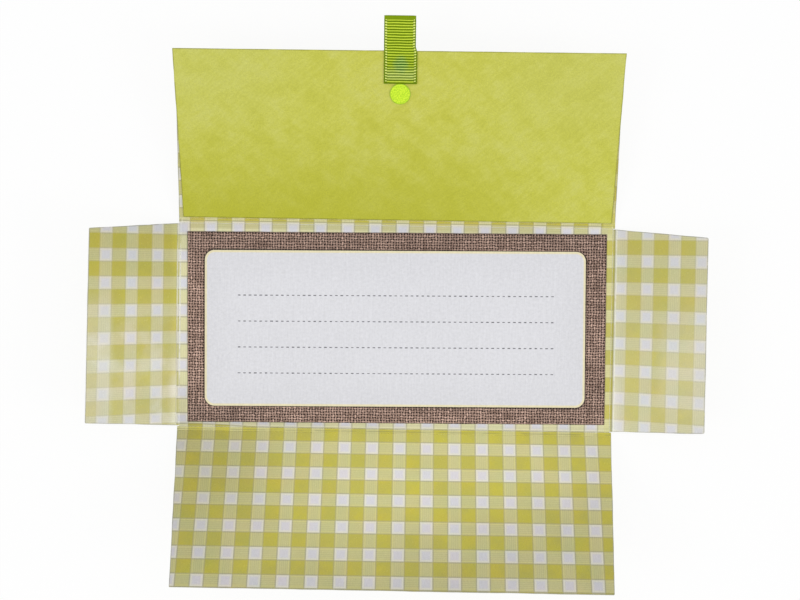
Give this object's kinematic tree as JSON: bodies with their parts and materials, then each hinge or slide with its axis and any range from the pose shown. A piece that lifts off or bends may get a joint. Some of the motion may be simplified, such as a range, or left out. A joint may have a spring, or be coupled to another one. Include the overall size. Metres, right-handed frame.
{
  "type": "gift envelope",
  "caption": "Opened gift envelope of gingham card with hinged flaps, a lined closing flap with a ribbon tab and hook dot, and a burlap mat with a writing label.",
  "frame": {"origin": "middle of the centre panel's outer face, on which the envelope lies", "axes": "+X along the envelope, +Y towards the closing flap, +Z out of the inside face"},
  "size_m": [0.2316, 0.2124, 0.0308],
  "materials": {
    "gingham_card": "satin printed card",
    "liner_paper": "mottled matt paper",
    "burlap_paper": "matt paper printed as burlap",
    "label_paper": "smooth white paper",
    "tape": "thin double-sided tape",
    "ribbon": "ribbed grosgrain",
    "clear_glue": "dried clear glue",
    "hook_plastic": "moulded hooks",
    "loop_fabric": "napped loops"
  },
  "bodies": {
    "panel": {"back_panel": "gingham_card", "mat_tape": "tape", "burlap_mat": "burlap_paper", "label_tape": "tape", "writing_label": "label_paper"},
    "left_fold": {"left_fold": "gingham_card"},
    "left_flap": {"left_flap": "gingham_card"},
    "right_fold": {"right_fold": "gingham_card"},
    "right_flap": {"right_flap": "gingham_card"},
    "bottom_fold": {"bottom_fold": "gingham_card"},
    "bottom_flap": {"bottom_flap": "gingham_card", "loop_dot_adhesive": "tape", "loop_dot": "loop_fabric"},
    "top_fold": {"top_fold": "gingham_card"},
    "top_flap": {"top_flap": "gingham_card", "liner_tape": "tape", "flap_liner": "liner_paper", "ribbon_glue": "clear_glue", "ribbon_tab": "ribbon", "hook_dot_adhesive": "tape", "hook_dot": "hook_plastic"}
  },
  "joints": [
    {"name": "left_inner_score", "type": "hinge", "parent": "panel", "child": "left_fold", "pos_m": [-0.0835, 0, 0.00015], "axis": [0, 1, 0], "range_deg": [-16.5, 73.5]},
    {"name": "left_outer_score", "type": "hinge", "parent": "left_fold", "child": "left_flap", "pos_m": [-0.08446, 0, 0.00043], "axis": [0, 1, 0], "range_deg": [-16.5, 73.5]},
    {"name": "right_inner_score", "type": "hinge", "parent": "panel", "child": "right_fold", "pos_m": [0.0835, 0, 0.00015], "axis": [0, -1, 0], "range_deg": [-14, 76]},
    {"name": "right_outer_score", "type": "hinge", "parent": "right_fold", "child": "right_flap", "pos_m": [0.08447, 0, 0.00039], "axis": [0, -1, 0], "range_deg": [-14, 76]},
    {"name": "bottom_inner_score", "type": "hinge", "parent": "panel", "child": "bottom_fold", "pos_m": [0, -0.03952, 0.00015], "axis": [-1, 0, 0], "range_deg": [-13.9, 75.5]},
    {"name": "bottom_outer_score", "type": "hinge", "parent": "bottom_fold", "child": "bottom_flap", "pos_m": [0, -0.04093, 0.00051], "axis": [-1, 0, 0], "range_deg": [-13.9, 75.5]},
    {"name": "top_inner_score", "type": "hinge", "parent": "panel", "child": "top_fold", "pos_m": [0, 0.03945, 0.00015], "axis": [1, 0, 0], "range_deg": [-6.5, 82.3]},
    {"name": "top_outer_score", "type": "hinge", "parent": "top_fold", "child": "top_flap", "pos_m": [0, 0.04104, 0.00034], "axis": [1, 0, 0], "range_deg": [-6.5, 82.3]}
  ],
  "couplings": [
    {"joint": "left_inner_score", "follows": "left_outer_score", "ratio": 1},
    {"joint": "right_inner_score", "follows": "right_outer_score", "ratio": 1},
    {"joint": "bottom_inner_score", "follows": "bottom_outer_score", "ratio": 1},
    {"joint": "top_inner_score", "follows": "top_outer_score", "ratio": 1}
  ]
}
